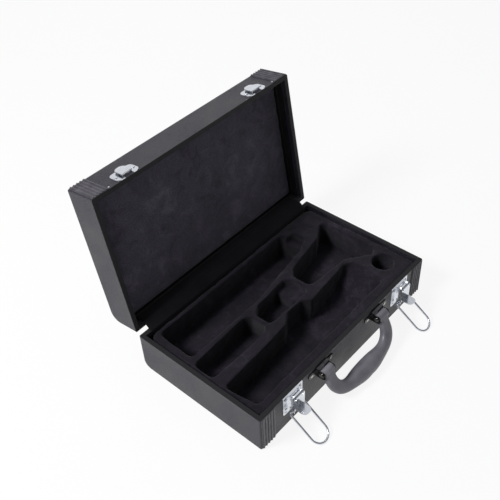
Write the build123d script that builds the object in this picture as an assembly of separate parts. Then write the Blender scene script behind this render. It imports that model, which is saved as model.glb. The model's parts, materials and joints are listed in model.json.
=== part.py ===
from build123d import *
from math import acos, asin, atan2, copysign, cos, degrees, hypot, pi, radians, sin
import os

# Clarinet case, lid open. Millimetres. X runs along the case, the handle and latches face -Y,
# the hinges are at +Y, and the underside of the case is the plane z = 0, centred on the origin.

# Pockets of the moulded insert: what they hold sets the size of the case
left_margin = 7.5
right_margin = 12.5
web = 8.0
front_length = 281.0
oval_length = 82.0
bell_length = 119.0
rear_inset = 7.0
rear_gap = 13.0
hole_radius = 15.5
front_margin = 14.5
front_width = 50.0
mid_web = 18.0
mid_width = 34.0
rear_web = 12.0
rear_width = 60.0
rear_margin = 8.5
pocket_depth = 42.0
mid_depth = 36.0
oval_depth = 34.0
bell_depth = 40.0
hole_depth = 30.0
step_depth = 13.0
step_length = 13.0
ramp_length = 36.0
foam_floor = 9.0
pocket_corner = 5.0
soft_edge = 2.5
wave = 2.0
flare_length = 36.0
flare_front = 8.0
flare_back = 40.0
hole_gap = 4.5
bump_start = 24.5
bump_gap = 6.0
shelf_length = 24.0
shelf_notch = 8.0
step_front = 4.0
step_back = 11.0
insert_back_corner = 16.0
insert_front_corner = 5.0
insert_gap = 1.4

# Case walls
board = 5.2
skin = 0.8
fold = 0.6
fold_drop = 8.0
edge_radius = 2.0
base_back_radius = 12.0
lid_back_radius = 15.0
insert_drop = 4.0
rim_gap = 0.5
cover_inset = 4.0
cover_gap = 0.1

# Lid
lid_hollow = 19.5
pad_thickness = 23.0
pad_gap = 0.3
pad_edge = 4.0
lid_open_angle = 99.0

# Cloth strip that covers the hinge line from inside
strip_thickness = 0.4
strip_gap = 0.15
strip_end_gap = 15.4
strip_depth = 12.0

# Hinges
hinge_length = 44.0
hinge_end_distance = 40.0
leaf_height = 17.0
leaf_thickness = 1.2
leaf_corner = 3.6
knuckle_radius = 3.2
knuckle_wall_gap = 0.4
knuckle_count = 5
knuckle_gap = 0.3
hinge_pin_radius = 1.4
hinge_play = 0.05
pin_head_radius = 2.3
pin_head_length = 0.9

# Latches
latch_end_distance = 61.0
plate_width = 38.0
plate_height = 35.0
plate_thickness = 1.0
plate_corner = 4.0
plate_lip = 3.4
bead_width = 1.2
bead_height = 0.7
bead_margin = 1.5
bead_end_margin = 3.5
bead_corner = 2.2
plate_rivet_margin = 8.5
lever_width = 20.0
lever_sheet = 1.0
lever_length = 24.0
lever_pivot_out = 8.0
knuckle_roll = 4.0
latch_pin_radius = 1.25
latch_play = 0.05
lug_thickness = 1.2
lug_gap = 0.3
tab_width = 15.0
tab_reach = 15.0
tab_corner = 6.0
bail_pin_out = 7.5
bail_pin_drop = 29.0
bail_wire = 1.5
bail_bend = 2.6
bail_side_gap = 2.2
bail_stub_end = 8.6
bail_inward = 8.0
eye_rim = 2.2

# Catches on the lid
catch_width = 35.5
catch_reach = 23.5
tongue_width = 17.0
tongue_foot = 5.0
tongue_raise = 2.2
tongue_corner = 7.5
catch_margin = 0.4
lobe_drop = 1.5
waist_depth = 6.0
lobe_rivet_margin = 3.6
lobe_rivet_drop = 1.0
catch_window = 14.0
lobe_width = 13.0
bail_hook_gap = 0.3

# Handle
handle_spread = 61.0
pivot_drop = 11.5
pivot_out = 10.0
root_width = 18.4
arm_width = 16.6
root_radius = 6.5
handle_reach = 42.0
grip_radius = 12.4
grip_end_radius = 8.6
handle_pin_radius = 2.0
handle_pin_head = 3.3
handle_pin_head_length = 1.0
handle_play = 0.05
handle_side_gap = 0.4
handle_lift_angle = 96.0
bracket_sheet = 1.3
bracket_foot = 14.5
bracket_width = 9.0
bracket_cheek = 6.5
bridge_out = 5.5
bridge_gap = 0.5
foot_raise = 1.5
foot_corner = 3.6
foot_rivet_out = 9.0
table_gap = 0.25

# Corner patches and small fasteners
patch_width = 25.0
patch_thickness = 0.9
patch_margin = 0.6
rib_count = 5
rib_radius = 1.1
rivet_radius = 1.4
rivet_head_radius = 2.4
rivet_head_height = 0.8
rivet_length = 4.0
stud_radius = 1.2
stud_rise = 3.0

# Sizes that follow
wall = skin + board
bell_end = front_length + web + flare_length
bell_start = bell_end - bell_length
oval_start = bell_start - web - oval_length
mid_length = oval_start - web
rear_length = bell_end - flare_length - rear_gap - step_length - rear_inset
insert_length = left_margin + bell_end + right_margin
insert_depth = front_margin + front_width + mid_web + mid_width + rear_web + rear_width + rear_margin
insert_height = foam_floor + pocket_depth
case_length = insert_length + 2 * (insert_gap + wall)
case_depth = insert_depth + 2 * (insert_gap + wall)
base_height = wall + insert_height + insert_drop
lid_height = lid_hollow + pad_thickness + wall
lid_rim = base_height + rim_gap
lid_top = lid_rim + lid_height
front_y = -case_depth / 2
back_y = case_depth / 2
insert_top = wall + insert_height
hinge_y = back_y + knuckle_radius + knuckle_wall_gap
hinge_z = base_height + rim_gap / 2
hinge_x = case_length / 2 - hinge_end_distance - hinge_length / 2
latch_x = case_length / 2 - latch_end_distance
lever_pivot_z = base_height - knuckle_roll - rim_gap
lever_front = lever_pivot_out + knuckle_roll
lever_bottom = base_height - lever_length
bail_pin_z = base_height - bail_pin_drop
bail_half = lever_width / 2 + bail_side_gap + bail_wire
hook_z = lid_rim + catch_reach + bail_hook_gap + bail_wire
hook_out = plate_thickness + bail_wire + bail_hook_gap
bail_length = hypot(hook_z - bail_pin_z, bail_pin_out - hook_out)
handle_z = base_height - pivot_drop
grip_hang = degrees(asin((grip_radius - pivot_out + table_gap) / handle_reach))
grip_rest = degrees(acos(min(1.0, (handle_z - grip_radius - table_gap) / handle_reach)))
handle_rest_angle = max(grip_hang, grip_rest)
bail_rest_angle = degrees(acos(min(1.0, (bail_pin_z - bail_wire - table_gap) / bail_length)))
bail_up_angle = 180 + degrees(atan2(bail_pin_out - hook_out, hook_z - bail_pin_z))


def box_between(low, high):
    """Box from its lowest to its highest corner."""
    size = [b - a for a, b in zip(low, high)]
    centre = [(a + b) / 2 for a, b in zip(low, high)]
    return Pos(*centre) * Box(*size)


def rod(start, direction, radius, length):
    """Round bar from a start point along a direction."""
    return extrude(Plane(origin=start, z_dir=direction) * Circle(radius), amount=length)


def tray_block(inset, low, top, back_radius):
    """Block of a tray whose closed side is down, drawn in by an inset, with a round back edge."""
    half = case_depth / 2 - inset
    profile = make_face(Polyline((-half, low), (half, low), (half, top), (-half, top), close=True))
    front_round = max(edge_radius - inset, 0.0)
    back_round = max(back_radius - inset, 1.0)
    corners = profile.vertices().group_by(Axis.Y)[0].sort_by(Axis.X)
    profile = fillet(corners[1], back_round)
    if front_round:
        profile = fillet(profile.vertices().group_by(Axis.Y)[0].sort_by(Axis.X)[0], front_round)
    block = extrude(Plane.YZ * profile, amount=case_length / 2 - inset, both=True)
    if front_round:
        ends = block.faces().filter_by(Axis.X).edges()
        block = fillet([edge for edge in ends if edge.center().Z < top - 0.01], front_round)
    return block


def tray_parts(height, back_radius):
    """Timber frame, closing board and vinyl covering of one half of the case, rim up."""
    outside = tray_block(0.0, 0.0, height, back_radius)
    timber = tray_block(skin, skin, height - skin, back_radius)
    hollow = tray_block(wall, wall, height, back_radius)
    shell = timber - hollow
    closing = box_between((-case_length, -case_depth, 0), (case_length, case_depth, wall))
    below_fold = box_between((-case_length, -case_depth, 0), (case_length, case_depth, height - fold_drop))
    throat_x = case_length / 2 - wall - fold
    throat_y = case_depth / 2 - wall - fold
    throat = box_between((-throat_x, -throat_y, height - fold_drop), (throat_x, throat_y, height))
    covering = outside - shell - (hollow & below_fold) - throat
    return shell - closing, shell & closing, covering


def lid_closed(shape):
    """Turns a tray upside down and sets it on the base."""
    return Pos(0, 0, lid_top) * (Rot(0, 180, 0) * shape)


def lid_opened(shape):
    """Swings a lid piece from closed to the open pose."""
    return shape.rotate(Axis((0, hinge_y, hinge_z), (1, 0, 0)), -lid_open_angle)


def opened_point(y, z):
    """Where a point of the closed lid is in the open pose, in the plane across the case."""
    across = y - hinge_y
    above = z - hinge_z
    turn = radians(lid_open_angle)
    return hinge_y + across * cos(turn) + above * sin(turn), hinge_z - across * sin(turn) + above * cos(turn)


def swung(shape, y, z, angle):
    """Turns a piece that hangs straight down outwards and up, about an axis along X."""
    return shape.rotate(Axis((0, y, z), (-1, 0, 0)), angle)


# Insert

def pocket(points, depth, corner=pocket_corner):
    """Straight-sided pocket below the top of the insert, from its outline."""
    outline = make_face(Polyline(*points, close=True))
    outline = fillet(outline.vertices(), corner)
    return extrude(Pos(0, 0, insert_top) * outline, amount=-depth)


def insert_rows():
    """Places of the pocket rows: the left end of the pockets, and each row's front and back edge."""
    left = -insert_length / 2 + left_margin
    front_low = -insert_depth / 2 + front_margin
    front_high = front_low + front_width
    mid_low = front_high + mid_web
    mid_high = mid_low + mid_width
    rear_low = mid_high + rear_web
    return left, front_low, front_high, mid_low, mid_high, rear_low, rear_low + rear_width


def rear_channel():
    """Long pocket by the hinges; its front side draws in towards the right."""
    left, _, _, _, _, low, high = insert_rows()
    left += rear_inset
    right = left + rear_length
    narrow = (high - low) / 3
    points = [(left, low), (right - rear_length / 2, low), (right - rear_length / 4, low + narrow / 2),
              (right, low + narrow), (right - wave, high), (left + wave, high)]
    step = box_between((right - 2 * step_length, low + narrow + step_front, insert_top - step_depth),
                       (right + step_length, high - step_back, insert_top))
    step = fillet(step.edges().filter_by(Axis.Z), pocket_corner)
    return pocket(points, pocket_depth) + step


def mid_pocket():
    """Short pocket at the left of the middle row, wider at the back of its right end."""
    left, _, _, low, high, _, _ = insert_rows()
    right = left + mid_length
    points = [(left, low + wave), (left + mid_length / 2, low), (right - 3 * wave, low + wave),
              (right + wave / 2, low + 4 * wave), (right, high - wave), (right - 4 * wave, high + 2 * wave),
              (left, high)]
    return pocket(points, mid_depth)


def oval_pocket():
    """Round-ended pocket in the middle, with a shallow shelf at its right end."""
    left, _, _, low, high, _, _ = insert_rows()
    left += oval_start
    right = left + oval_length
    points = [(left, low + 3 * wave), (left + 4 * wave, low + 2 * wave), (right - 3 * wave, low + 2 * wave),
              (right, low + 4 * wave), (right, high), (right - 4 * wave, high + 4 * wave),
              (left + 7 * wave, high + 2 * wave), (left, high - 3 * wave)]
    floor = insert_top - oval_depth
    shelf_top = insert_top - step_depth
    shelf = box_between((right - shelf_length, low, floor), (right + wave, high + 5 * wave, shelf_top))
    notch = box_between((right - shelf_length, low, floor),
                        (right - shelf_length + shelf_notch / 2, low + 2 * wave + shelf_notch, shelf_top))
    return pocket(points, oval_depth) - (shelf - notch)


def bell_pocket():
    """Pocket that flares to the right, narrow end beside the oval."""
    left, _, front_high, low, high, _, _ = insert_rows()
    right = left + bell_end
    left += bell_start
    flare = right - flare_length
    points = [(left, low + 5 * wave), (left + 3 * wave, low + 3 * wave), (flare - 6 * wave, low + wave),
              (flare, low - 2 * wave), (right - 5 * wave, front_high - flare_front), (right, front_high),
              (right, high + flare_back - 2 * wave), (right - 4 * wave, high + flare_back),
              (flare, high + 12 * wave), (left + 6 * wave, high + 6 * wave), (left, high + wave)]
    return pocket(points, bell_depth)


def front_channel():
    """Longest pocket, along the handle side, bulged beside the oval and ramped at its right end."""
    left, low, high, mid_low, _, _, _ = insert_rows()
    right = left + front_length
    bump = left + oval_start + bump_start
    bump_high = mid_low + 2 * wave - bump_gap
    points = [(left + 3 * wave, low), (right - 2 * wave, low + wave), (right, high - 4 * wave),
              (right - wave, high + 3 * wave), (right - 6 * wave, high + 6 * wave),
              (bump + 22 * wave, high + 2 * wave), (bump + 17 * wave, bump_high - wave / 2),
              (bump + 3 * wave, bump_high), (bump - 7 * wave, high + 2 * wave),
              (bump - 24 * wave, high + wave / 2), (left, high - wave)]
    ramp_low = insert_top - pocket_depth
    ramp_end = right + 2 * wave
    ramp = make_face(Polyline((right - ramp_length, ramp_low), (ramp_end, ramp_low),
                              (ramp_end, insert_top - wave / 2), close=True))
    ramp = extrude(Plane.XZ * ramp, amount=insert_depth, both=True)
    return pocket(points, pocket_depth) - ramp


def round_hole():
    """Round pocket in the right front corner, one gap in front of the bell's flare."""
    _, _, front_high, _, _, _, _ = insert_rows()
    centre_x = insert_length / 2 - right_margin - hole_radius
    centre_y = front_high - flare_front - hole_gap - hole_radius
    return rod((centre_x, centre_y, insert_top), (0, 0, -1), hole_radius, hole_depth)


def insert_foam():
    """Moulded foam insert with its pockets."""
    half_x = insert_length / 2
    half_y = insert_depth / 2
    block = box_between((-half_x, -half_y, wall), (half_x, half_y, insert_top))
    uprights = block.edges().filter_by(Axis.Z).sort_by(Axis.Y)
    block = fillet(uprights[2:], insert_back_corner)
    block = fillet(block.edges().filter_by(Axis.Z).sort_by(Axis.Y)[:2], insert_front_corner)
    keel = box_between((-half_x - 1, -half_y - 1, wall), (half_x + 1, half_y, insert_top))
    under = keel.edges().filter_by(Axis.X).group_by(Axis.Z)[0].sort_by(Axis.Y)[-1]
    block = block & fillet(under, base_back_radius - wall)
    for cut in (rear_channel(), mid_pocket(), oval_pocket(), bell_pocket(), front_channel(), round_hole()):
        block -= cut
    top = block.faces().filter_by(Axis.Z).sort_by(Axis.Z)[-1]
    return fillet(top.edges(), soft_edge)


# Base and lid

def base_bottom_cover():
    """Flat vinyl sheet under the base, which the case rests on."""
    half_x = case_length / 2 - cover_inset - cover_gap
    low_y = front_y + cover_inset + cover_gap
    high_y = back_y - base_back_radius - cover_gap
    return box_between((-half_x, low_y, 0), (half_x, high_y, skin))


def bottom_cover_space():
    """Recess in the covering that takes the flat sheet."""
    half_x = case_length / 2 - cover_inset
    return box_between((-half_x, front_y + cover_inset, 0), (half_x, back_y - base_back_radius, skin))


def lid_pad():
    """Foam pad that fills the lid down to its shallow hollow, closed pose."""
    half_x = case_length / 2 - wall - pad_gap
    half_y = case_depth / 2 - wall - pad_gap
    pad = box_between((-half_x, -half_y, lid_rim + lid_hollow), (half_x, half_y, lid_top - wall))
    back = pad.edges().filter_by(Axis.X).group_by(Axis.Z)[-1].sort_by(Axis.Y)[-1]
    pad = fillet(back, lid_back_radius - wall + pad_gap)
    return fillet(pad.faces().sort_by(Axis.Z)[0].edges(), pad_edge)


def lid_wall_lining():
    """Cloth strip round the lid's inner walls, from the turned-in vinyl to the pad, closed pose."""
    low = lid_rim + fold_drop
    high = lid_rim + lid_hollow
    out_x = case_length / 2 - wall
    out_y = case_depth / 2 - wall
    ring = box_between((-out_x, -out_y, low), (out_x, out_y, high))
    return ring - box_between((fold - out_x, fold - out_y, low), (out_x - fold, out_y - fold, high))


def inner_hinge_strip():
    """Cloth strip from behind the insert, over the rims and along the lid's back wall, open pose."""
    outer = back_y - wall - fold - strip_gap
    inner = outer - strip_thickness
    low = base_height - strip_depth
    high = lid_rim + lid_hollow - strip_gap
    points = [(outer, low), (outer, base_height), opened_point(outer, lid_rim), opened_point(outer, high),
              opened_point(inner, high), opened_point(inner, lid_rim), (inner, base_height), (inner, low)]
    profile = make_face(Polyline(*points, close=True))
    return extrude(Plane.YZ * profile, amount=case_length / 2 - strip_end_gap, both=True)


def corner_patch(side, low, high):
    """Ribbed vinyl patch on the front wall beside a corner; the ribs run up the wall."""
    outer = side * (case_length / 2 - edge_radius)
    inner = outer - side * patch_width
    left, right = sorted((inner, outer))
    patch = box_between((left, front_y - patch_thickness, low), (right, front_y, high))
    pitch = patch_width / rib_count
    for number in range(rib_count):
        rib_x = left + pitch * (number + 0.5)
        patch += rod((rib_x, front_y - patch_thickness, low), (0, 0, 1), rib_radius, high - low)
    behind = box_between((left, front_y, low), (right, front_y + 2 * rib_radius, high))
    return patch - behind


# Hinges

def knuckle_ranges(x, lid_side):
    """Stretches along X of the knuckles of one leaf."""
    pitch = hinge_length / knuckle_count
    start = x - hinge_length / 2
    first = 1 if lid_side else 0
    return [(start + n * pitch + knuckle_gap / 2, start + (n + 1) * pitch - knuckle_gap / 2)
            for n in range(first, knuckle_count, 2)]


def hinge_leaf(x, lid_side):
    """One leaf on the back wall with its knuckles, closed pose."""
    up = 1 if lid_side else -1
    clear = knuckle_radius * 0.9
    edges = sorted((hinge_z + up * clear, hinge_z + up * leaf_height))
    leaf = box_between((x - hinge_length / 2, back_y, edges[0]),
                       (x + hinge_length / 2, back_y + leaf_thickness, edges[1]))
    far = leaf.edges().filter_by(Axis.Y).sort_by(Axis.Z)
    leaf = fillet(far[2:] if lid_side else far[:2], leaf_corner)
    bore = hinge_pin_radius + (hinge_play if lid_side else 0.0)
    for low, high in knuckle_ranges(x, lid_side):
        barrel = rod((low, hinge_y, hinge_z), (1, 0, 0), knuckle_radius, high - low)
        neck = sorted((hinge_z, hinge_z + up * (clear + leaf_thickness)))
        leaf += barrel + box_between((low, back_y, neck[0]), (high, back_y + leaf_thickness, neck[1]))
        leaf -= rod((low, hinge_y, hinge_z), (1, 0, 0), bore, high - low)
    return leaf


def hinge_pin(x):
    """Pin through all the knuckles, with a flat head at each end."""
    start = x - hinge_length / 2
    pin = rod((start, hinge_y, hinge_z), (1, 0, 0), hinge_pin_radius, hinge_length)
    for end, way in ((start, -1), (start + hinge_length, 1)):
        pin += rod((end, hinge_y, hinge_z), (way, 0, 0), pin_head_radius, pin_head_length)
    return pin


def fastener(point, outward):
    """Domed head on a surface, with a shank into what lies behind it."""
    head = rod(point, outward, rivet_head_radius, rivet_head_height)
    rim = head.edges().sort_by(lambda edge: Vector(*outward).dot(edge.center()))[-1]
    head = fillet(rim, rivet_head_height * 0.7)
    return head + rod(point, [-value for value in outward], rivet_radius, rivet_length)


def hinge_screws(x, lid_side):
    """Three screws through one leaf, closed pose."""
    up = 1 if lid_side else -1
    z = hinge_z + up * leaf_height * 0.6
    spacing = hinge_length * 0.36
    return [fastener((x + n * spacing, back_y + leaf_thickness, z), (0, 1, 0)) for n in (-1, 0, 1)]


# Latches, built about x = 0 and moved to their places

def flange_bead(side, low, high):
    """Raised rounded frame pressed into one flange of a plate."""
    inner = lever_width / 2 + bead_margin
    outer = plate_width / 2 - bead_margin
    width = outer - inner
    ring = RectangleRounded(width, high - low, bead_corner)
    ring -= RectangleRounded(width - 2 * bead_width, high - low - 2 * bead_width, bead_corner - bead_width)
    centre = (side * (inner + outer) / 2, front_y - plate_thickness, (low + high) / 2)
    return extrude(Plane(origin=centre, x_dir=(1, 0, 0), z_dir=(0, -1, 0)) * ring, amount=bead_height)


def latch_plate():
    """Base plate of a latch: flat sheet, top lip, two pressed frames and two pivot lugs."""
    half = plate_width / 2
    low = base_height - plate_height
    plate = box_between((-half, front_y - plate_thickness, low), (half, front_y, base_height))
    plate = fillet(plate.edges().filter_by(Axis.Y).group_by(Axis.Z)[0], plate_corner)
    plate += box_between((-lever_width / 2, front_y - plate_lip, base_height - plate_thickness),
                         (lever_width / 2, front_y, base_height))
    lug_end = knuckle_roll - lever_sheet - lug_gap
    for side in (-1, 1):
        plate += flange_bead(side, low + bead_end_margin, base_height - bead_end_margin)
        lug_x = lug_centre(side)
        lug = box_between((lug_x - lug_thickness / 2, front_y - lever_pivot_out, lever_pivot_z - lug_end),
                          (lug_x + lug_thickness / 2, front_y, lever_pivot_z + lug_end))
        plate += lug + rod((lug_x - lug_thickness / 2, front_y - lever_pivot_out, lever_pivot_z),
                           (1, 0, 0), lug_end, lug_thickness)
    return plate - latch_pin()


def lug_centre(side):
    """Place of a pivot lug along X, just inside the lever's side wall."""
    return side * (lever_width / 2 - 2 * lever_sheet - lug_gap - lug_thickness / 2)


def latch_pin():
    """Pivot pin of a lever, from one side of the lever to the other."""
    half = lever_width / 2
    return rod((-half, front_y - lever_pivot_out, lever_pivot_z), (1, 0, 0), latch_pin_radius, 2 * half)


def latch_rivets():
    """Four rivets at the ends of the two flanges."""
    out = (lever_width / 2 + plate_width / 2) / 2
    rows = (base_height - plate_rivet_margin, base_height - plate_height + plate_rivet_margin)
    face = front_y - plate_thickness
    return [fastener((side * out, face, z), (0, -1, 0)) for side in (-1, 1) for z in rows]


def lever_side(side):
    """Side wall of a lever with the eye that carries the bail."""
    half = lever_width / 2
    low_x, high_x = sorted((side * half, side * (half - lever_sheet)))
    eye = bail_wire + eye_rim
    wall_side = box_between((low_x, front_y - lever_front, bail_pin_z + eye),
                            (high_x, front_y - lever_pivot_out + knuckle_roll / 2, lever_pivot_z))
    skirt = box_between((low_x, front_y - bail_pin_out - eye, bail_pin_z),
                        (high_x, front_y - bail_pin_out + eye, bail_pin_z + 2 * eye))
    tip = rod((low_x, front_y - bail_pin_out, bail_pin_z), (1, 0, 0), eye, lever_sheet)
    hole = rod((low_x, front_y - bail_pin_out, bail_pin_z), (1, 0, 0), bail_wire + latch_play, lever_sheet)
    return wall_side + skirt + tip - hole


def lever_tab():
    """Finger tab that stands straight out from the foot of the lever, round at its end."""
    half = tab_width / 2
    start = front_y - lever_front + lever_sheet
    end = front_y - lever_front - tab_reach
    tab = box_between((-half, end, lever_bottom), (half, start, lever_bottom + lever_sheet))
    corners = tab.edges().filter_by(Axis.Z).sort_by(Axis.Y)[:2]
    return fillet(corners, tab_corner)


def latch_lever():
    """Pressed lever: rolled knuckle, front sheet, two side walls and the finger tab."""
    half = lever_width / 2
    axis = (-half, front_y - lever_pivot_out, lever_pivot_z)
    lever = rod(axis, (1, 0, 0), knuckle_roll, 2 * half)
    for side in (-1, 1):
        room = lug_thickness / 2 + lug_gap
        lug_x = lug_centre(side)
        lever -= rod((lug_x - room, axis[1], axis[2]), (1, 0, 0), knuckle_roll, 2 * room)
    lever += box_between((-half, front_y - lever_front, lever_bottom),
                         (half, front_y - lever_front + lever_sheet, lever_pivot_z))
    for side in (-1, 1):
        lever += lever_side(side)
    lever += lever_tab()
    return lever - rod(axis, (1, 0, 0), latch_pin_radius + latch_play, 2 * half)


def latch_bail():
    """Wire bail: two legs and a round end, its stubs turned in through the lever's eyes."""
    leg_end = bail_length - bail_half
    bend = bail_bend
    half = bail_half
    plane = Plane(origin=(0, front_y - bail_pin_out, bail_pin_z), x_dir=(1, 0, 0), z_dir=(0, -1, 0))
    path = Wire([
        Line((-bail_stub_end, 0), (bend - half, 0)).edge(),
        CenterArc((bend - half, -bend), bend, 90, 90).edge(),
        Line((-half, -bend), (-half, -leg_end)).edge(),
        CenterArc((0, -leg_end), half, 180, 90).edge(),
        CenterArc((0, -leg_end), half, 270, 90).edge(),
        Line((half, -leg_end), (half, -bend)).edge(),
        CenterArc((half - bend, -bend), bend, 0, 90).edge(),
        Line((half - bend, 0), (bail_stub_end, 0)).edge(),
    ])
    path = plane.from_local_coords(path)
    section = Plane(origin=path @ 0, z_dir=path % 0) * Circle(bail_wire)
    return swung(sweep(section, path=path), front_y - bail_pin_out, bail_pin_z, bail_rest_angle)


def catch():
    """Catch on the lid's front wall, closed pose: lobed plate, notch at the rim, and a raised tongue."""
    face = front_y - plate_thickness
    half = catch_width / 2
    low = lid_rim + catch_margin
    high = lid_rim + catch_reach - lobe_drop
    plate = box_between((-half, face, low), (half, front_y, high))
    plate = fillet(plate.edges().filter_by(Axis.Y), lobe_width / 2)
    waist = box_between((lobe_width - half, face, high - waist_depth), (half - lobe_width, front_y, high))
    plate -= waist
    window_top = lid_rim + tongue_foot
    plate -= box_between((-catch_window / 2, face, lid_rim), (catch_window / 2, front_y, window_top))
    out = face - tongue_raise
    tongue = box_between((-tongue_width / 2, out - plate_thickness, window_top),
                         (tongue_width / 2, out, lid_rim + catch_reach))
    tongue = fillet(tongue.edges().filter_by(Axis.Y).group_by(Axis.Z)[-1], tongue_corner)
    tongue = fillet(tongue.faces().sort_by(Axis.Y)[0].edges(), plate_thickness * 0.6)
    riser_half = tongue_width / 2 - plate_thickness
    riser = box_between((-riser_half, out - plate_thickness / 2, window_top),
                        (riser_half, face, window_top + plate_thickness))
    return plate + riser + tongue


def catch_rivets():
    """Two rivets, one in each lobe, closed pose."""
    out = catch_width / 2 - lobe_rivet_margin
    z = lid_rim + catch_reach / 2 - lobe_rivet_drop
    return [fastener((side * out, front_y - plate_thickness, z), (0, -1, 0)) for side in (-1, 1)]


# Handle, built hanging straight down

def handle_section(x, drop, tilt, width, thickness, power):
    """Rounded section across the handle; a higher power squares it up from an ellipse."""
    points = []
    count = 16
    for number in range(count):
        angle = 2 * pi * number / count
        across = copysign(abs(cos(angle)) ** (2 / power), cos(angle)) * width / 2
        deep = copysign(abs(sin(angle)) ** (2 / power), sin(angle)) * thickness / 2
        points.append((across, deep))
    normal = (sin(radians(tilt)), 0, -cos(radians(tilt)))
    plane = Plane(origin=(x, front_y - pivot_out, handle_z - drop),
                  x_dir=(cos(radians(tilt)), 0, sin(radians(tilt))), z_dir=normal)
    return plane * make_face(Spline(*points, periodic=True))


def handle_grip():
    """Moulded handle with flat arms and a swollen grip, and an eye in each root."""
    reach = handle_reach
    spread = handle_spread
    flat = 2 * root_radius
    end = 2 * grip_end_radius
    full = 2 * grip_radius
    # from a root to the middle: x, drop, tilt, width, thickness, power
    half = [
        (spread, 0.0, 0, arm_width, flat - 1.2, 4.0),
        (spread - 0.3, reach * 0.22, -2, arm_width, flat - 1.6, 3.6),
        (spread - 1.0, reach * 0.46, -9, arm_width + 0.8, flat - 1.2, 3.2),
        (spread - 6.0, reach * 0.72, -37, end + 1.4, flat + 0.6, 2.6),
        (spread - 16.0, reach * 0.90, -63, end + 1.0, end - 1.8, 2.2),
        (spread - 30.0, reach * 0.975, -80, end + 2.6, end + 2.2, 2.0),
        (spread * 0.25, reach, -88, full - 0.8, full - 0.8, 2.0),
    ]
    sections = [handle_section(*row) for row in half]
    sections.append(handle_section(0, reach, -90, full, full, 2.0))
    for x, drop, tilt, width, thickness, power in reversed(half):
        sections.append(handle_section(-x, drop, -180 - tilt, width, thickness, power))
    body = loft(sections)
    axis_y = front_y - pivot_out
    for side in (-1, 1):
        start = side * spread - root_width / 2
        body += rod((start, axis_y, handle_z), (1, 0, 0), root_radius, root_width)
        body -= rod((start - 1, axis_y, handle_z), (1, 0, 0), handle_pin_radius + handle_play, root_width + 2)
    return swung(body, axis_y, handle_z, handle_rest_angle)


def handle_pin(side):
    """Pin through a bracket and the root of the handle, with a head outside each cheek."""
    half = root_width / 2 + handle_side_gap + bracket_sheet
    centre = side * handle_spread
    axis_y = front_y - pivot_out
    pin = rod((centre - half, axis_y, handle_z), (1, 0, 0), handle_pin_radius, 2 * half)
    for way in (-1, 1):
        end = (centre + way * half, axis_y, handle_z)
        pin += rod(end, (way, 0, 0), handle_pin_head, handle_pin_head_length)
    return pin


def handle_bracket(side):
    """Pressed bracket: two feet on the wall, two round cheeks and a bridge over the root."""
    centre = side * handle_spread
    inner = root_width / 2 + handle_side_gap
    outer = inner + bracket_sheet
    top = handle_z + root_radius + bridge_gap
    axis_y = front_y - pivot_out
    bracket = box_between((centre - outer, front_y - bridge_out, top),
                          (centre + outer, front_y, top + bracket_sheet))
    foot_low = handle_z + foot_raise - bracket_width / 2
    for way in (-1, 1):
        low_x, high_x = sorted((centre + way * inner, centre + way * outer))
        cheek = box_between((low_x, axis_y, handle_z - bracket_cheek),
                            (high_x, front_y, handle_z + bracket_cheek))
        cheek += box_between((low_x, front_y - bridge_out, handle_z), (high_x, front_y, top + bracket_sheet))
        cheek += rod((low_x, axis_y, handle_z), (1, 0, 0), bracket_cheek, bracket_sheet)
        foot_x = sorted((centre + way * outer, centre + way * (outer + bracket_foot)))
        foot = box_between((foot_x[0], front_y - bracket_sheet, foot_low),
                           (foot_x[1], front_y, foot_low + bracket_width))
        far = foot.edges().filter_by(Axis.Y).sort_by(Axis.X)
        foot = fillet(far[2:] if way > 0 else far[:2], foot_corner)
        bracket += cheek + foot
    return bracket - handle_pin(side)


def bracket_rivets(side):
    """One rivet in each foot of a bracket."""
    out = root_width / 2 + handle_side_gap + bracket_sheet + foot_rivet_out
    centre = side * handle_spread
    z = handle_z + foot_raise
    return [fastener((centre + way * out, front_y - bracket_sheet, z), (0, -1, 0)) for way in (-1, 1)]


def rim_studs():
    """Two small nails that hold the lid's turned-in vinyl beside the patches, closed pose."""
    x = case_length / 2 - edge_radius - patch_width - 2 * stud_radius
    z = lid_rim + stud_rise
    studs = []
    for side in (-1, 1):
        stud = rod((side * x, front_y, z), (0, -1, 0), stud_radius, rivet_head_height)
        stud += rod((side * x, front_y, z), (0, 1, 0), stud_radius / 2, rivet_length)
        studs.append(stud)
    return studs


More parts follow.
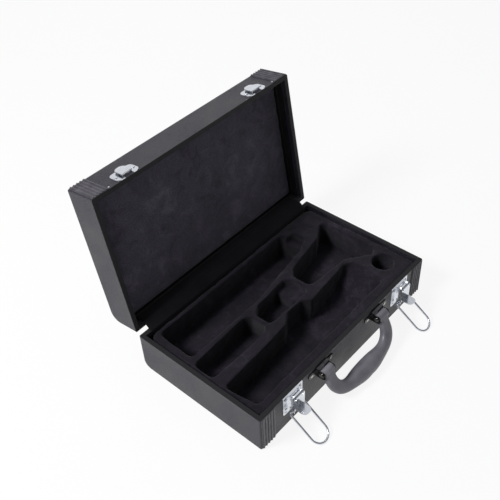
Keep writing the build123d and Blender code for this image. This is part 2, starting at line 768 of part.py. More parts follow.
def build():
    """All the pieces by node name, at rest: lid open, handle and bails down on the table."""
    frame, floor_board, covering = tray_parts(base_height, base_back_radius)
    lid_tray = tray_parts(lid_height, lid_back_radius)
    lid_frame, lid_board, lid_covering = [lid_closed(piece) for piece in lid_tray]
    sides = {"left": -1, "right": 1}
    nodes = {
        "base_frame": frame,
        "base_floor_board": floor_board,
        "base_covering": covering - bottom_cover_space(),
        "base_bottom_cover": base_bottom_cover(),
        "insert_foam": insert_foam(),
        "inner_hinge_strip": inner_hinge_strip(),
    }
    lid = {
        "lid_frame": lid_frame,
        "lid_top_board": lid_board,
        "lid_covering": lid_covering,
        "lid_pad": lid_pad(),
        "lid_wall_lining": lid_wall_lining(),
    }
    into_base = []
    into_lid = rim_studs()
    lid["lid_rim_studs"] = Compound(rim_studs())
    for name, side in sides.items():
        at_latch = Pos(side * latch_x, 0, 0)
        nodes[f"base_corner_patch_{name}"] = corner_patch(side, edge_radius, base_height - patch_margin)
        lid[f"lid_corner_patch_{name}"] = corner_patch(side, lid_rim + patch_margin, lid_top - edge_radius)
        rivets = [at_latch * rivet for rivet in latch_rivets()]
        into_base += rivets
        nodes[f"latch_rivets_{name}"] = Compound(rivets)
        nodes[f"latch_plate_{name}"] = at_latch * (latch_plate() - latch_rivets())
        nodes[f"latch_pivot_pin_{name}"] = at_latch * latch_pin()
        nodes[f"latch_lever_{name}"] = at_latch * latch_lever()
        nodes[f"latch_bail_{name}"] = at_latch * latch_bail()
        rivets = [at_latch * rivet for rivet in catch_rivets()]
        into_lid += rivets
        lid[f"catch_rivets_{name}"] = Compound(rivets)
        lid[f"catch_{name}"] = at_latch * (catch() - catch_rivets())
        rivets = bracket_rivets(side)
        into_base += rivets
        nodes[f"handle_rivets_{name}"] = Compound(rivets)
        nodes[f"handle_bracket_{name}"] = handle_bracket(side) - rivets
        nodes[f"handle_pin_{name}"] = handle_pin(side)
        halves = ((False, nodes, into_base, "base"), (True, lid, into_lid, "lid"))
        for lid_side, group, cuts, half in halves:
            screws = hinge_screws(side * hinge_x, lid_side)
            cuts += screws
            group[f"hinge_{half}_screws_{name}"] = Compound(screws)
            group[f"hinge_{half}_leaf_{name}"] = hinge_leaf(side * hinge_x, lid_side) - screws
        nodes[f"hinge_pin_{name}"] = hinge_pin(side * hinge_x)
    nodes["handle_grip"] = handle_grip()
    for name in ("base_frame", "base_covering"):
        nodes[name] -= into_base
    for name in ("lid_frame", "lid_covering"):
        lid[name] -= into_lid
    nodes.update({name: lid_opened(piece) for name, piece in lid.items()})
    return nodes


def report_joints():
    """Prints the joint axes and ranges that the model stands for."""
    print(f"case {case_length:.1f} x {case_depth:.1f} mm, base {base_height:.1f}, lid {lid_height:.1f}")
    print(f"lid hinge at y {hinge_y:.2f} z {hinge_z:.2f}, closes by {lid_open_angle:.1f} degrees")
    print(f"levers at x {latch_x:.2f} y {front_y - lever_pivot_out:.2f} z {lever_pivot_z:.2f}")
    print(f"bails at y {front_y - bail_pin_out:.2f} z {bail_pin_z:.2f}, length {bail_length:.2f}")
    print(f"bails from {-bail_inward - bail_rest_angle:.2f} to {bail_up_angle - bail_rest_angle:.2f} degrees")
    print(f"handle at y {front_y - pivot_out:.2f} z {handle_z:.2f}, rests at {handle_rest_angle:.2f}")
    print(f"handle from {grip_hang - handle_rest_angle:.2f} to {handle_lift_angle - handle_rest_angle:.2f}")


if __name__ == "__main__":
    os.makedirs("parts", exist_ok=True)
    for node, shape in build().items():
        export_step(shape, f"parts/{node}.step")
    report_joints()
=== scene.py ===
import bpy
import json
import math
import numpy as np
from mathutils import Matrix, Vector, noise


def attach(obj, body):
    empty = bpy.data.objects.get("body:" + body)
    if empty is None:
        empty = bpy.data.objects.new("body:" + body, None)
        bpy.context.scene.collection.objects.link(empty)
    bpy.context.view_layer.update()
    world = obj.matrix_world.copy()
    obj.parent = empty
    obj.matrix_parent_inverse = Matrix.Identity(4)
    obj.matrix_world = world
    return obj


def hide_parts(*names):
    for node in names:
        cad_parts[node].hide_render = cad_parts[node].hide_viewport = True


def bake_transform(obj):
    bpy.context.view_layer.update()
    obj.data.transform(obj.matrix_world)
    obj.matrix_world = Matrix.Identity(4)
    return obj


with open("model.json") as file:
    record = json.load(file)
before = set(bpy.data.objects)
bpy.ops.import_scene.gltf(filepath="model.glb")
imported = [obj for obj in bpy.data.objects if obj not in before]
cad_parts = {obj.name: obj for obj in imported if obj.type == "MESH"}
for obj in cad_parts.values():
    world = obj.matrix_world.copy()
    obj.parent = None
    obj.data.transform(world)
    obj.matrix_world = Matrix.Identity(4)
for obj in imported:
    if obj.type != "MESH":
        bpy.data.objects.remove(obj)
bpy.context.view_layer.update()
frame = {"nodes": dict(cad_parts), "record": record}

nodes = frame["nodes"]
print("frame loaded:", len(nodes), "nodes")


# Colour and node helpers

def hexColour(text):
    # sRGB hex to linear RGBA
    parts = [int(text[i:i + 2], 16) / 255 for i in (1, 3, 5)]
    return [p / 12.92 if p <= 0.04045 else ((p + 0.055) / 1.055) ** 2.4 for p in parts] + [1.0]


def addNode(tree, kind, inputs=None, links=None, stops=None, **settings):
    # one node: settings on the node, values on its sockets, links as socket: output,
    # and for a colour ramp its stops, each a place with a hex colour or a grey level
    made = tree.nodes.new(kind)
    for key, value in settings.items():
        setattr(made, key, value)
    for key, value in (inputs or {}).items():
        made.inputs[key].default_value = value
    for key, source in (links or {}).items():
        tree.links.new(source, made.inputs[key])
    for count, (spot, colour) in enumerate(stops or []):
        elements = made.color_ramp.elements
        element = elements[count] if count < len(elements) else elements.new(spot)
        element.position = spot
        element.color = hexColour(colour) if isinstance(colour, str) else [colour] * 3 + [1.0]
    return made


def startMaterial(name, **principled):
    # principled shader with its constants on its own sockets
    mat = bpy.data.materials.new(name)
    mat.use_nodes = True
    tree = mat.node_tree
    tree.nodes.clear()
    shader = addNode(tree, "ShaderNodeBsdfPrincipled")
    for key, value in principled.items():
        shader.inputs[key.replace("_", " ")].default_value = value
    addNode(tree, "ShaderNodeOutputMaterial", links={"Surface": shader.outputs[0]})
    place = addNode(tree, "ShaderNodeTexCoord").outputs["Object"]
    return mat, tree, shader, place


def perMetre(millimetres):
    # texture scale for patches or cells about so many millimetres across
    return 1000 / millimetres


def wavesPerMetre(millimetres):
    # wave texture scale with about so many millimetres from each crest to the next trough
    return perMetre(millimetres) / 6.28


# Materials: colours in sRGB hex, sizes and heights in millimetres, the rest as shares

# rim is a painted shade: the darker colour of the turned-in rim, which is lit less than the walls
# the darkest colour, for the creases between the pebbles, is a painted shade
vinylLook = dict(colour="#28262f", creaseShade="#1b1920", worn="#3e3b46", rim="#131216", roughness=0.46,
                 pebble=2.6, pebbleHeight=0.35, creaseWidth=0.22, wander=5, bend=0.0022, patch=45,
                 grain=1.1, grainHeight=0.2, glossy=0.38, dull=0.55, rimRoughness=0.8, rimFacing=0.9)


def makeVinyl(name, rimWay):
    # PVC leathercloth, calendered and embossed: a pebbled grain whose tops catch a soft light, with a
    # painted shade in the creases between them
    # its turned-in rim, which faces rimWay with the lid open as photographed, is pressed smooth and matt,
    # and its darker colour is painted shade, as the rim is lit less than the walls
    look = vinylLook
    mat, tree, shader, place = startMaterial(name, Roughness=look["roughness"], IOR=1.52)
    wander = addNode(tree, "ShaderNodeTexNoise", {"Scale": perMetre(look["wander"]), "Detail": 2.0},
                     {"Vector": place})
    bent = addNode(tree, "ShaderNodeMix", {"Factor": look["bend"]},
                   {"A": place, "B": wander.outputs["Color"]}, data_type="VECTOR")
    pebbles = addNode(tree, "ShaderNodeTexVoronoi", {"Scale": perMetre(look["pebble"])},
                      {"Vector": bent.outputs[1]}, feature="DISTANCE_TO_EDGE")
    tops = addNode(tree, "ShaderNodeMapRange", {"From Max": look["creaseWidth"]},
                   {"Value": pebbles.outputs["Distance"]}, interpolation_type="SMOOTHSTEP")
    patches = addNode(tree, "ShaderNodeTexNoise", {"Scale": perMetre(look["patch"]), "Detail": 4.0},
                      {"Vector": place})
    tone = addNode(tree, "ShaderNodeValToRGB", links={"Fac": patches.outputs["Fac"]},
                   stops=[(0.3, look["colour"]), (0.75, look["worn"])])
    # painted shade: the colour darkens in the creases between the pebbles
    colour = addNode(tree, "ShaderNodeMix", {"A": hexColour(look["creaseShade"])},
                     {"Factor": tops.outputs["Result"], "B": tone.outputs["Color"]}, data_type="RGBA")
    facing = addNode(tree, "ShaderNodeNewGeometry").outputs["True Normal"]
    towards = addNode(tree, "ShaderNodeVectorMath", {1: rimWay}, {0: facing}, operation="DOT_PRODUCT")
    rim = addNode(tree, "ShaderNodeMath", {1: look["rimFacing"]}, {0: towards.outputs["Value"]},
                  operation="GREATER_THAN")
    # painted shade: the faces turned rimWay take the darker rim colour
    rimShaded = addNode(tree, "ShaderNodeMix", {"B": hexColour(look["rim"])},
                    {"Factor": rim.outputs[0], "A": colour.outputs[2]}, data_type="RGBA")
    tree.links.new(rimShaded.outputs[2], shader.inputs["Base Color"])
    rough = addNode(tree, "ShaderNodeMapRange",
                    {"From Min": 0.3, "From Max": 0.7, "To Min": look["glossy"], "To Max": look["dull"]},
                    {"Value": patches.outputs["Fac"]})
    matt = addNode(tree, "ShaderNodeMix", {"B": look["rimRoughness"]},
                   {"Factor": rim.outputs[0], "A": rough.outputs["Result"]})
    tree.links.new(matt.outputs[0], shader.inputs["Roughness"])
    grain = addNode(tree, "ShaderNodeTexNoise", {"Scale": perMetre(look["grain"]), "Detail": 3.0},
                    {"Vector": place})
    pebbled = addNode(tree, "ShaderNodeBump", {"Strength": 0.55, "Distance": look["pebbleHeight"] / 1000},
                      {"Height": tops.outputs["Result"]})
    grained = addNode(tree, "ShaderNodeBump", {"Strength": 0.25, "Distance": look["grainHeight"] / 1000},
                      {"Height": grain.outputs["Fac"], "Normal": pebbled.outputs["Normal"]})
    tree.links.new(grained.outputs["Normal"], shader.inputs["Normal"])
    return mat


# the trim's pale tones are partly painted sheen, for the light the ribs catch
trimLook = dict(low="#3d3b41", high="#5a5860", dust=9, grain=1.0, grainHeight=0.15)


def makeRibbedVinyl():
    # ribbed PVC trim, extruded: smooth satin ribs, a little paler where dust lies in patches, and paler
    # than the vinyl partly as painted sheen for the light the ribs catch
    look = trimLook
    mat, tree, shader, place = startMaterial("extrudedPvcTrim", Roughness=0.42, IOR=1.52)
    dust = addNode(tree, "ShaderNodeTexNoise", {"Scale": perMetre(look["dust"]), "Detail": 5.0},
                   {"Vector": place})
    tone = addNode(tree, "ShaderNodeValToRGB", links={"Fac": dust.outputs["Fac"]},
                   stops=[(0.35, look["low"]), (0.8, look["high"])])
    tree.links.new(tone.outputs["Color"], shader.inputs["Base Color"])
    grain = addNode(tree, "ShaderNodeTexNoise", {"Scale": perMetre(look["grain"]), "Detail": 2.0},
                    {"Vector": place})
    grained = addNode(tree, "ShaderNodeBump", {"Strength": 0.3, "Distance": look["grainHeight"] / 1000},
                      {"Height": grain.outputs["Fac"]})
    tree.links.new(grained.outputs["Normal"], shader.inputs["Normal"])
    return mat


flockLook = dict(low="#201e25", high="#29262e", brushed="#37333e", nap=16)
# the lid plush is paler than the insert's flock: partly a paler cloth, partly painted light for the light
# that falls on the lining, which faces the front
lidPlushLook = dict(low="#494650", high="#585560", brushed="#6a6773", nap=24)
pileLook = dict(broadening=4.5, fibre=1.5, napHeight=1.2, fibreHeight=0.8)


def makePlush(name, look):
    # cut pile, brushed: the nap lies in patches that turn lighter and darker, partly in its own tone and
    # partly as painted sheen
    # the real fibres are too fine to show, so they are drawn 1.5 mm apart
    mat, tree, shader, place = startMaterial(name, Roughness=0.95, IOR=1.45, Sheen_Weight=0.1,
                                             Sheen_Roughness=0.5, Specular_IOR_Level=0.1)
    lie = addNode(tree, "ShaderNodeTexNoise",
                  {"Scale": perMetre(look["nap"]), "Detail": 5.0, "Roughness": 0.62, "Distortion": 0.6},
                  {"Vector": place})
    broad = addNode(tree, "ShaderNodeTexNoise",
                    {"Scale": perMetre(look["nap"] * pileLook["broadening"]), "Detail": 2.0},
                    {"Vector": place})
    both = addNode(tree, "ShaderNodeMix", {"Factor": 0.45},
                   {"A": lie.outputs["Fac"], "B": broad.outputs["Fac"]})
    # painted sheen: the lightest stop brightens the patches where the nap lies another way
    tone = addNode(tree, "ShaderNodeValToRGB", links={"Fac": both.outputs[0]},
                   stops=[(0.38, look["low"]), (0.52, look["high"]), (0.66, look["brushed"])])
    tone.color_ramp.interpolation = "EASE"
    fibres = addNode(tree, "ShaderNodeTexNoise",
                     {"Scale": perMetre(pileLook["fibre"]), "Detail": 4.0, "Roughness": 0.7},
                     {"Vector": place})
    speck = addNode(tree, "ShaderNodeValToRGB", links={"Fac": fibres.outputs["Fac"]},
                    stops=[(0.32, 0.5), (0.66, 1.0)])
    colour = addNode(tree, "ShaderNodeMix", {"Factor": 1.0},
                     {"A": tone.outputs["Color"], "B": speck.outputs["Color"]},
                     data_type="RGBA", blend_type="MULTIPLY")
    tree.links.new(colour.outputs[2], shader.inputs["Base Color"])
    napped = addNode(tree, "ShaderNodeBump", {"Strength": 0.35, "Distance": pileLook["napHeight"] / 1000},
                     {"Height": lie.outputs["Fac"]})
    piled = addNode(tree, "ShaderNodeBump", {"Strength": 0.9, "Distance": pileLook["fibreHeight"] / 1000},
                    {"Height": fibres.outputs["Fac"], "Normal": napped.outputs["Normal"]})
    tree.links.new(piled.outputs["Normal"], shader.inputs["Normal"])
    return mat


chromeLook = dict(low="#d2d6dd", high="#e4e7ec", haze=7, pull=2.5, pullHeight=0.1)


def makeChrome(name, smooth, rough):
    # steel, barrel polished and chromed: a bright satin with faint pulls from the press or the die
    look = chromeLook
    mat, tree, shader, place = startMaterial(name, Metallic=1.0, Roughness=smooth)
    haze = addNode(tree, "ShaderNodeTexNoise",
                   {"Scale": perMetre(look["haze"]), "Detail": 6.0, "Roughness": 0.6}, {"Vector": place})
    tone = addNode(tree, "ShaderNodeValToRGB", links={"Fac": haze.outputs["Fac"]},
                   stops=[(0.3, look["low"]), (0.7, look["high"])])
    tree.links.new(tone.outputs["Color"], shader.inputs["Base Color"])
    satin = addNode(tree, "ShaderNodeMapRange",
                    {"From Min": 0.35, "From Max": 0.75, "To Min": smooth, "To Max": rough},
                    {"Value": haze.outputs["Fac"]})
    tree.links.new(satin.outputs["Result"], shader.inputs["Roughness"])
    pulls = addNode(tree, "ShaderNodeTexNoise", {"Scale": perMetre(look["pull"]), "Detail": 2.0},
                    {"Vector": place})
    pulled = addNode(tree, "ShaderNodeBump", {"Strength": 0.12, "Distance": look["pullHeight"] / 1000},
                     {"Height": pulls.outputs["Fac"]})
    tree.links.new(pulled.outputs["Normal"], shader.inputs["Normal"])
    return mat


nickelLook = dict(low="#a19e97", high="#c6c3bc")
blackNickelLook = dict(low="#3b393b", high="#5a585b")
plateLook = dict(haze=5, hazeHeight=0.12, smooth=0.14, rough=0.32)


def makeNickel(name, look):
    # pressed steel, plated in nickel, bright or blackened: dimmer and warmer than the chrome
    mat, tree, shader, place = startMaterial(name, Metallic=1.0, Roughness=0.22)
    haze = addNode(tree, "ShaderNodeTexNoise", {"Scale": perMetre(plateLook["haze"]), "Detail": 6.0},
                   {"Vector": place})
    tone = addNode(tree, "ShaderNodeValToRGB", links={"Fac": haze.outputs["Fac"]},
                   stops=[(0.3, look["low"]), (0.7, look["high"])])
    tree.links.new(tone.outputs["Color"], shader.inputs["Base Color"])
    smooth, rough = plateLook["smooth"], plateLook["rough"]
    satin = addNode(tree, "ShaderNodeMapRange",
                    {"From Min": 0.35, "From Max": 0.75, "To Min": smooth, "To Max": rough},
                    {"Value": haze.outputs["Fac"]})
    tree.links.new(satin.outputs["Result"], shader.inputs["Roughness"])
    hazed = addNode(tree, "ShaderNodeBump", {"Strength": 0.15, "Distance": plateLook["hazeHeight"] / 1000},
                    {"Height": haze.outputs["Fac"]})
    tree.links.new(hazed.outputs["Normal"], shader.inputs["Normal"])
    return mat


clothLook = dict(low="#0f0e12", high="#17161b", broad=30, crestToTrough=1.2, threadHeight=0.12)


def makeHingeCloth():
    # plain-woven dyed cotton, glued flat: a matt dark band with a fine even weave
    look = clothLook
    mat, tree, shader, place = startMaterial("dyedPlainWeave", Roughness=0.88, IOR=1.45,
                                             Specular_IOR_Level=0.15, Sheen_Weight=0.08,
                                             Sheen_Roughness=0.5)
    broad = addNode(tree, "ShaderNodeTexNoise", {"Scale": perMetre(look["broad"]), "Detail": 3.0},
                    {"Vector": place})
    tone = addNode(tree, "ShaderNodeValToRGB", links={"Fac": broad.outputs["Fac"]},
                   stops=[(0.3, look["low"]), (0.7, look["high"])])
    tree.links.new(tone.outputs["Color"], shader.inputs["Base Color"])
    # the real threads are 0.4 mm apart, drawn about 2.4 mm apart so that they don't flicker
    below = None
    for way in ("X", "Y"):
        threads = addNode(tree, "ShaderNodeTexWave",
                          {"Scale": wavesPerMetre(look["crestToTrough"]), "Distortion": 0.3},
                          {"Vector": place}, bands_direction=way)
        links = {"Height": threads.outputs["Fac"]}
        if below:
            links["Normal"] = below
        woven = addNode(tree, "ShaderNodeBump", {"Strength": 0.3, "Distance": look["threadHeight"] / 1000},
                        links)
        below = woven.outputs["Normal"]
    tree.links.new(below, shader.inputs["Normal"])
    return mat


handleLook = dict(low="#605f66", high="#7a7980", rub=22, glossy=0.34, dull=0.52,
                  spark=1.2, sparkHeight=0.22)


def makeHandlePvc():
    # plasticised PVC over a steel core, moulded: satin, a faint spark texture, greyer where hands rub it
    look = handleLook
    mat, tree, shader, place = startMaterial("mouldedSoftPvc", Roughness=0.42, IOR=1.53)
    rub = addNode(tree, "ShaderNodeTexNoise", {"Scale": perMetre(look["rub"]), "Detail": 4.0},
                  {"Vector": place})
    tone = addNode(tree, "ShaderNodeValToRGB", links={"Fac": rub.outputs["Fac"]},
                   stops=[(0.3, look["low"]), (0.72, look["high"])])
    tree.links.new(tone.outputs["Color"], shader.inputs["Base Color"])
    rough = addNode(tree, "ShaderNodeMapRange",
                    {"From Min": 0.3, "From Max": 0.75, "To Min": look["glossy"], "To Max": look["dull"]},
                    {"Value": rub.outputs["Fac"]})
    tree.links.new(rough.outputs["Result"], shader.inputs["Roughness"])
    spark = addNode(tree, "ShaderNodeTexNoise", {"Scale": perMetre(look["spark"]), "Detail": 3.0},
                    {"Vector": place})
    sparked = addNode(tree, "ShaderNodeBump", {"Strength": 0.35, "Distance": look["sparkHeight"] / 1000},
                      {"Height": spark.outputs["Fac"]})
    tree.links.new(sparked.outputs["Normal"], shader.inputs["Normal"])
    return mat


# the ply's near-black colours are painted shade, for where the frame shows in gaps of the lining
plyLook = dict(low="#131110", high="#201d1a", grain=3, grainHeight=0.2, stretch=0.08)


def makePlywood():
    # birch plywood, rotary cut and sanded, near black as painted shade where the frame shows in gaps of
    # the lining: dark veneers with long grain along the case
    look = plyLook
    mat, tree, shader, place = startMaterial("birchPlyPaintedShade", Roughness=0.62, IOR=1.5)
    stretch = addNode(tree, "ShaderNodeMapping", {"Scale": (look["stretch"], 1.0, 1.0)}, {"Vector": place})
    grain = addNode(tree, "ShaderNodeTexNoise",
                    {"Scale": perMetre(look["grain"]), "Detail": 6.0, "Distortion": 0.4},
                    {"Vector": stretch.outputs[0]})
    tone = addNode(tree, "ShaderNodeValToRGB", links={"Fac": grain.outputs["Fac"]},
                   stops=[(0.35, look["low"]), (0.65, look["high"])])
    tree.links.new(tone.outputs["Color"], shader.inputs["Base Color"])
    grained = addNode(tree, "ShaderNodeBump", {"Strength": 0.3, "Distance": look["grainHeight"] / 1000},
                      {"Height": grain.outputs["Fac"]})
    tree.links.new(grained.outputs["Normal"], shader.inputs["Normal"])
    return mat


baseVinyl = makeVinyl("embossedPvcOnBase", (0, 0, 1))
lidVinyl = makeVinyl("embossedPvcOnLid", (0, -0.988, 0.156))
trimVinyl = makeRibbedVinyl()
insertPlush = makePlush("brushedFlockOnFoam", flockLook)
# its paler colours are partly painted light on the lid lining
lidPlush = makePlush("cutPilePlush", lidPlushLook)
chrome = makeChrome("barrelPolishedChrome", 0.17, 0.32)
wireChrome = makeChrome("drawnWireChrome", 0.32, 0.48)
nickel = makeNickel("barrelPlatedNickel", nickelLook)
blackNickel = makeNickel("blackNickelPlate", blackNickelLook)
handlePvc = makeHandlePvc()
plywood = makePlywood()
hingeCloth = makeHingeCloth()

# which material a node wears: the first entry found in its name
dressing = {
    "inner_hinge_strip": hingeCloth,
    "base_frame": plywood, "lid_frame": plywood, "base_floor_board": plywood, "lid_top_board": plywood,
    "base_covering": baseVinyl, "lid_covering": lidVinyl, "base_bottom_cover": baseVinyl,
    "corner_patch": trimVinyl, "handle_grip": handlePvc,
    "handle_bracket": blackNickel, "handle_pin": nickel, "handle_rivets": nickel, "hinge": nickel,
    "latch_bail": wireChrome, "latch": chrome, "catch": chrome, "lid_rim_studs": chrome,
    "insert_foam": insertPlush, "lid_pad": lidPlush, "lid_wall_lining": lidPlush,
}
for name, piece in nodes.items():
    material = next(mat for part, mat in dressing.items() if part in name)
    piece.data.materials.clear()
    piece.data.materials.append(material)
print("materials made and put on the nodes")


# Soft pieces

def copyMesh(source, name):
    # a new piece that starts from a node's own mesh
    made = bpy.data.objects.new(name, source.data.copy())
    bpy.context.scene.collection.objects.link(made)
    for key in list(made.keys()):
        del made[key]
    return made


def applyModifiers(piece):
    # bakes the modifiers into the piece's own mesh
    shown = bpy.context.evaluated_depsgraph_get()
    mesh = bpy.data.meshes.new_from_object(piece.evaluated_get(shown))
    piece.modifiers.clear()
    piece.data = mesh


def remeshed(piece, voxel, smoothing=0):
    # an even mesh from voxels of so many millimetres, relaxed by so many rounds of smoothing
    step = piece.modifiers.new("voxels", "REMESH")
    step.mode = "VOXEL"
    step.voxel_size = voxel / 1000
    step.use_smooth_shade = True
    if smoothing:
        relax = piece.modifiers.new("relax", "SMOOTH")
        relax.iterations = smoothing
        relax.factor = 0.5
    applyModifiers(piece)


def pointsOf(piece, kind="co"):
    # the places of a mesh's points, or their normals
    found = np.empty(len(piece.data.vertices) * 3)
    piece.data.vertices.foreach_get(kind, found)
    return found.reshape(-1, 3)


def movePoints(piece, points):
    piece.data.vertices.foreach_set("co", points.ravel())
    piece.data.update()


def smoothShade(piece):
    piece.data.polygons.foreach_set("use_smooth", [True] * len(piece.data.polygons))


insertSet = dict(voxel=1.7, smoothing=3, ripple=1.8, rippleSize=15)


def buildInsert():
    # flocked foam: the moulded pockets with softened rims and a faintly uneven surface
    piece = copyMesh(nodes["insert_foam"], "insert_flock")
    remeshed(piece, insertSet["voxel"], insertSet["smoothing"])
    piece.data.materials.clear()
    piece.data.materials.append(insertPlush)
    points = pointsOf(piece)
    scale = perMetre(insertSet["rippleSize"])
    sway = np.array([0.5 + 0.5 * noise.noise(Vector(spot) * scale) for spot in points])
    sink = sway[:, None] * insertSet["ripple"] / 1000
    movePoints(piece, points - pointsOf(piece, "normal") * sink)
    smoothShade(piece)
    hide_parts("insert_foam")
    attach(piece, "base")
    return piece


insertPiece = buildInsert()
print("insert flocked:", len(insertPiece.data.polygons), "faces")

liningSet = dict(voxel=4.5, shrink=0.4, pressure=2.0, stiffness=25, frames=20, cap=1.2)


def swollen(piece, settings):
    # inflates a closed form as stuffed cloth, with the travel of each point capped
    rest = pointsOf(piece)
    cloth = piece.modifiers.new("stuffing", "CLOTH")
    cloth.settings.use_pressure = True
    cloth.settings.uniform_pressure_force = settings["pressure"]
    cloth.settings.effector_weights.gravity = 0
    cloth.settings.tension_stiffness = settings["stiffness"]
    cloth.settings.compression_stiffness = settings["stiffness"]
    cloth.point_cache.frame_start = 1
    cloth.point_cache.frame_end = settings["frames"]
    for step in range(1, settings["frames"] + 1):
        bpy.context.scene.frame_set(step)
    applyModifiers(piece)
    bpy.context.scene.frame_set(1)
    travel = pointsOf(piece) - rest
    length = np.linalg.norm(travel, axis=1, keepdims=True) + 1e-9
    movePoints(piece, rest + travel * np.minimum(1, settings["cap"] / 1000 / length))


def buildLining():
    # plush drawn over the foam in the lid and glued round its walls
    piece = copyMesh(nodes["lid_pad"], "lid_lining")
    remeshed(piece, liningSet["voxel"])
    movePoints(piece, pointsOf(piece) - pointsOf(piece, "normal") * liningSet["shrink"] / 1000)
    swollen(piece, liningSet)
    soft = piece.modifiers.new("soft", "SUBSURF")
    soft.levels = 1
    soft.render_levels = 1
    applyModifiers(piece)
    piece.data.materials.clear()
    piece.data.materials.append(lidPlush)
    smoothShade(piece)
    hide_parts("lid_pad")
    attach(piece, "lid")
    return piece


liningPiece = buildLining()
print("lid lined:", len(liningPiece.data.polygons), "faces")


def clothGrid(name, lines, thickness):
    # a thin cloth from rows of points in millimetres, each row as long as the next
    width = len(lines[0])
    points = [[value / 1000 for value in point] for line in lines for point in line]
    faces = []
    for row in range(len(lines) - 1):
        for column in range(width - 1):
            first = row * width + column
            faces.append((first, first + 1, first + width + 1, first + width))
    mesh = bpy.data.meshes.new(name)
    mesh.from_pydata(points, [], faces)
    piece = bpy.data.objects.new(name, mesh)
    bpy.context.scene.collection.objects.link(piece)
    depth = piece.modifiers.new("thickness", "SOLIDIFY")
    depth.thickness = thickness / 1000
    depth.offset = 0
    applyModifiers(piece)
    smoothShade(piece)
    return piece


hinge = next(joint for joint in frame["record"]["behaviour"]["joints"] if joint["name"] == "lid_hinge")
hingeY, hingeZ = (value * 1000 for value in hinge["pos_m"][1:])
lidAngle = math.radians(hinge["range_deg"][1])


def openedPoint(x, y, z):
    # a point of the shut lid, swung to where the open lid has it
    across, above = y - hingeY, z - hingeZ
    return (x, hingeY + across * math.cos(lidAngle) + above * math.sin(lidAngle),
            hingeZ - across * math.sin(lidAngle) + above * math.cos(lidAngle))


def along(first, last, count):
    # so many evenly spaced values, both ends among them
    return [first + (last - first) * step / (count - 1) for step in range(count)]


stripSet = dict(half=164.4, face=98.95, low=49.4, rim=61.0, lidRim=61.5, high=80.6, thickness=0.34,
                bow=0.7, sway=0.5, wave=38, bowWay=(-0.65, 0.76), columns=100, lowRows=4, freeRows=13,
                lidRows=6)


def buildStrip():
    # glued behind the insert and along the lid's back wall, free where it crosses the hinge line
    face = stripSet["face"]
    start = (face, stripSet["rim"])
    end = openedPoint(0, face, stripSet["lidRim"])[1:]
    lines = []
    outward, upward = stripSet["bowWay"]
    for x in along(-stripSet["half"], stripSet["half"], stripSet["columns"]):
        line = [(x, face, z) for z in along(stripSet["low"], stripSet["rim"] - 1, stripSet["lowRows"])]
        for share in along(0.0, 1.0, stripSet["freeRows"]):
            slack = stripSet["bow"] + stripSet["sway"] * noise.noise((x / stripSet["wave"], 3.7, 0))
            lift = math.sin(math.pi * share) * slack
            line.append((x, start[0] + (end[0] - start[0]) * share + outward * lift,
                         start[1] + (end[1] - start[1]) * share + upward * lift))
        heights = along(stripSet["lidRim"] + 1, stripSet["high"], stripSet["lidRows"])
        line += [openedPoint(x, face, z) for z in heights]
        lines.append(line)
    piece = clothGrid("hinge_cloth_strip", lines, stripSet["thickness"])
    middle = lines[stripSet["columns"] // 2]
    length = sum(math.dist(a, b) for a, b in zip(middle, middle[1:]))
    piece.data.materials.append(hingeCloth)
    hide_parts("inner_hinge_strip")
    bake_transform(piece)
    return length


wallSet = dict(halfX=173.6, halfY=99.6, corner=2.0, low=69.6, high=80.9, thickness=0.5, seam=0.3,
               columns=30, cornerSteps=6, rows=6)


def buildWallLining():
    # one strip of dark cloth round the lid's walls, with its seam at the hinge side
    halfX, halfY, corner = wallSet["halfX"], wallSet["halfY"], wallSet["corner"]
    ring = [(x, halfY) for x in along(wallSet["seam"], halfX - corner, wallSet["columns"])]
    corners = ((halfX, halfY, 90), (halfX, -halfY, 0), (-halfX, -halfY, -90), (-halfX, halfY, -180))
    for middleX, middleY, turn in corners:
        centreX = middleX - math.copysign(corner, middleX)
        centreY = middleY - math.copysign(corner, middleY)
        for angle in along(turn, turn - 90, wallSet["cornerSteps"]):
            ring.append((centreX + corner * math.cos(math.radians(angle)),
                         centreY + corner * math.sin(math.radians(angle))))
    ring += [(x, halfY) for x in along(corner - halfX, -wallSet["seam"], wallSet["columns"])]
    heights = along(wallSet["low"], wallSet["high"], wallSet["rows"])
    lines = [[openedPoint(x, y, z) for z in heights] for x, y in ring]
    piece = clothGrid("lid_wall_plush", lines, wallSet["thickness"])
    length = sum(math.dist(a, b) for a, b in zip(ring, ring[1:]))
    piece.data.materials.append(hingeCloth)
    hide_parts("lid_wall_lining")
    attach(piece, "lid")
    return length


stripLength = buildStrip()
wallLength = buildWallLining()
print("hinge strip cut to", round(stripLength, 1), "mm; wall lining cut to", round(wallLength, 1), "mm")


# Stage, camera and light

cameraSet = dict(azimuth=-46.567, elevation=42.856, roll=-3.259, place=(-0.55901, -0.46468, 0.82463),
                 lens=54.688, sensor=36, reach=200)


def placeCamera():
    azimuth, elevation, roll = (math.radians(cameraSet[key]) for key in ("azimuth", "elevation", "roll"))
    back = Vector((math.sin(azimuth) * math.cos(elevation), -math.cos(azimuth) * math.cos(elevation),
                   math.sin(elevation)))
    right = Vector((math.cos(azimuth), math.sin(azimuth), 0))
    up = back.cross(right)
    rolledRight = right * math.cos(roll) + up * math.sin(roll)
    rolledUp = up * math.cos(roll) - right * math.sin(roll)
    data = bpy.data.cameras.new("photoCamera")
    data.lens = cameraSet["lens"]
    data.sensor_width = cameraSet["sensor"]
    data.clip_end = cameraSet["reach"]
    camera = bpy.data.objects.new("photoCamera", data)
    bpy.context.scene.collection.objects.link(camera)
    turn = Matrix((rolledRight, rolledUp, back)).transposed().to_4x4()
    camera.matrix_world = Matrix.Translation(cameraSet["place"]) @ turn
    bpy.context.scene.camera = camera


# the floor's sizes in metres, a hair under the case so that the two don't share a plane
stageSet = dict(floor="#f4f4f4", floorGlow=0.88, horizon="#a8a8ab", zenith="#5c5c60",
                half=40.0, drop=0.0004)


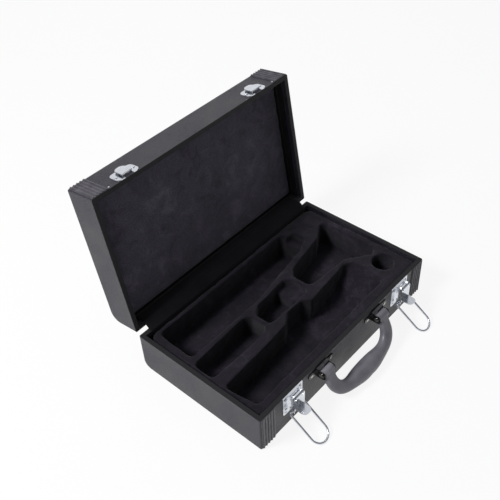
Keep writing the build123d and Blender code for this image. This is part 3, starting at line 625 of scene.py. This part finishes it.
def buildStage():
    half = stageSet["half"]
    mesh = bpy.data.meshes.new("floor")
    corners = [(-half, -half, 0), (half, -half, 0), (half, half, 0), (-half, half, 0)]
    mesh.from_pydata(corners, [], [(0, 1, 2, 3)])
    floor = bpy.data.objects.new("floor", mesh)
    floor.location.z = -stageSet["drop"]
    bpy.context.scene.collection.objects.link(floor)
    mat, tree, shader, place = startMaterial("mattePaperFloor", Roughness=0.9, Specular_IOR_Level=0.1)
    shader.inputs["Base Color"].default_value = hexColour(stageSet["floor"])
    # the camera and mirrors see the floor nearly white, while it still shows the shadow
    rays = addNode(tree, "ShaderNodeLightPath").outputs
    seen = addNode(tree, "ShaderNodeMath", links={0: rays["Is Camera Ray"], 1: rays["Is Glossy Ray"]},
                   operation="MAXIMUM")
    through = addNode(tree, "ShaderNodeMath", links={0: seen.outputs[0], 1: rays["Is Transmission Ray"]},
                      operation="MAXIMUM")
    share = addNode(tree, "ShaderNodeMath", {1: stageSet["floorGlow"]}, {0: through.outputs[0]},
                    operation="MULTIPLY")
    glow = addNode(tree, "ShaderNodeEmission", {"Strength": 1.0})
    both = addNode(tree, "ShaderNodeMixShader",
                   links={0: share.outputs[0], 1: shader.outputs[0], 2: glow.outputs[0]})
    out = next(n for n in tree.nodes if n.type == "OUTPUT_MATERIAL")
    tree.links.new(both.outputs[0], out.inputs["Surface"])
    mesh.materials.append(mat)
    world = bpy.data.worlds.new("dimStudio")
    bpy.context.scene.world = world
    world.use_nodes = True
    tree = world.node_tree
    tree.nodes.clear()
    around = addNode(tree, "ShaderNodeTexCoord").outputs["Generated"]
    height = addNode(tree, "ShaderNodeSeparateXYZ", links={"Vector": around}).outputs["Z"]
    wash = addNode(tree, "ShaderNodeValToRGB", links={"Fac": height},
                   stops=[(0.0, stageSet["horizon"]), (0.7, stageSet["zenith"])])
    sky = addNode(tree, "ShaderNodeBackground", {"Strength": 1.0}, {"Color": wash.outputs["Color"]})
    addNode(tree, "ShaderNodeOutputWorld", links={"Surface": sky.outputs[0]})


# round soft lamps: places and sizes in metres, and watts
lampSet = {
    "keyBox": dict(place=(-1.3, 0.5, 1.6), aim=(0, 0, 0.05), size=0.6, watts=34),
    "topBox": dict(place=(0.55, 0.4, 1.9), aim=(0, 0, 0.1), size=2.4, watts=9),
    "backPanel": dict(place=(0.9, 1.3, 0.85), aim=(0, 0.1, 0.25), size=1.4, watts=2.9),  # for the chrome
}


def addLamps():
    for name, lampLook in lampSet.items():
        data = bpy.data.lights.new(name, "AREA")
        data.shape = "DISK"
        data.size = lampLook["size"]
        data.energy = lampLook["watts"]
        lamp = bpy.data.objects.new(name, data)
        bpy.context.scene.collection.objects.link(lamp)
        lamp.location = lampLook["place"]
        lamp.rotation_mode = "QUATERNION"
        beam = Vector(lampLook["aim"]) - Vector(lampLook["place"])
        lamp.rotation_quaternion = beam.to_track_quat("-Z", "Y")


buildStage()
placeCamera()
addLamps()
bpy.context.scene.view_settings.view_transform = "Standard"
print("stage, camera and lamps placed")
